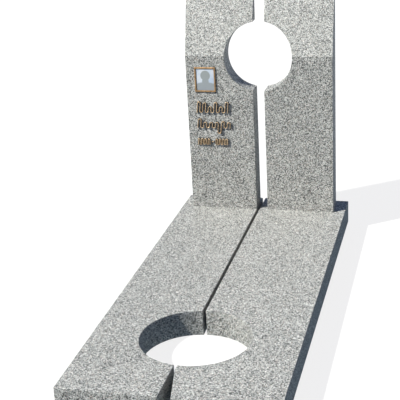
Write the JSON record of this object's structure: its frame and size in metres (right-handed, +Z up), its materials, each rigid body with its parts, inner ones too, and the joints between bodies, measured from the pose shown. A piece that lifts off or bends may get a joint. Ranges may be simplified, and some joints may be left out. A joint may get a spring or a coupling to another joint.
{
  "type": "grave monument",
  "caption": "Grey granite grave monument: a split slab with a round planting opening, upright stelae sharing a round hole, a framed portrait plate and raised bronze strokes.",
  "frame": {"origin": "on the ground, under the middle of the slab", "axes": "+Z up, +Y along the slab from its front edge to the stelae, +X to the right as seen from the front"},
  "size_m": [0.9, 2.13, 1.265],
  "materials": {
    "granite": "honed",
    "bronze": "satin",
    "enamel": "gloss"
  },
  "bodies": {
    "root": {"slab_left": "granite", "slab_right": "granite", "stele_left": "granite", "stele_right": "granite", "portrait_frame": "bronze", "portrait_plate": "enamel", "inscription_upper": "bronze", "inscription_middle": "bronze", "date_group_left": "bronze", "date_dash": "bronze", "date_group_right": "bronze"}
  },
  "joints": []
}
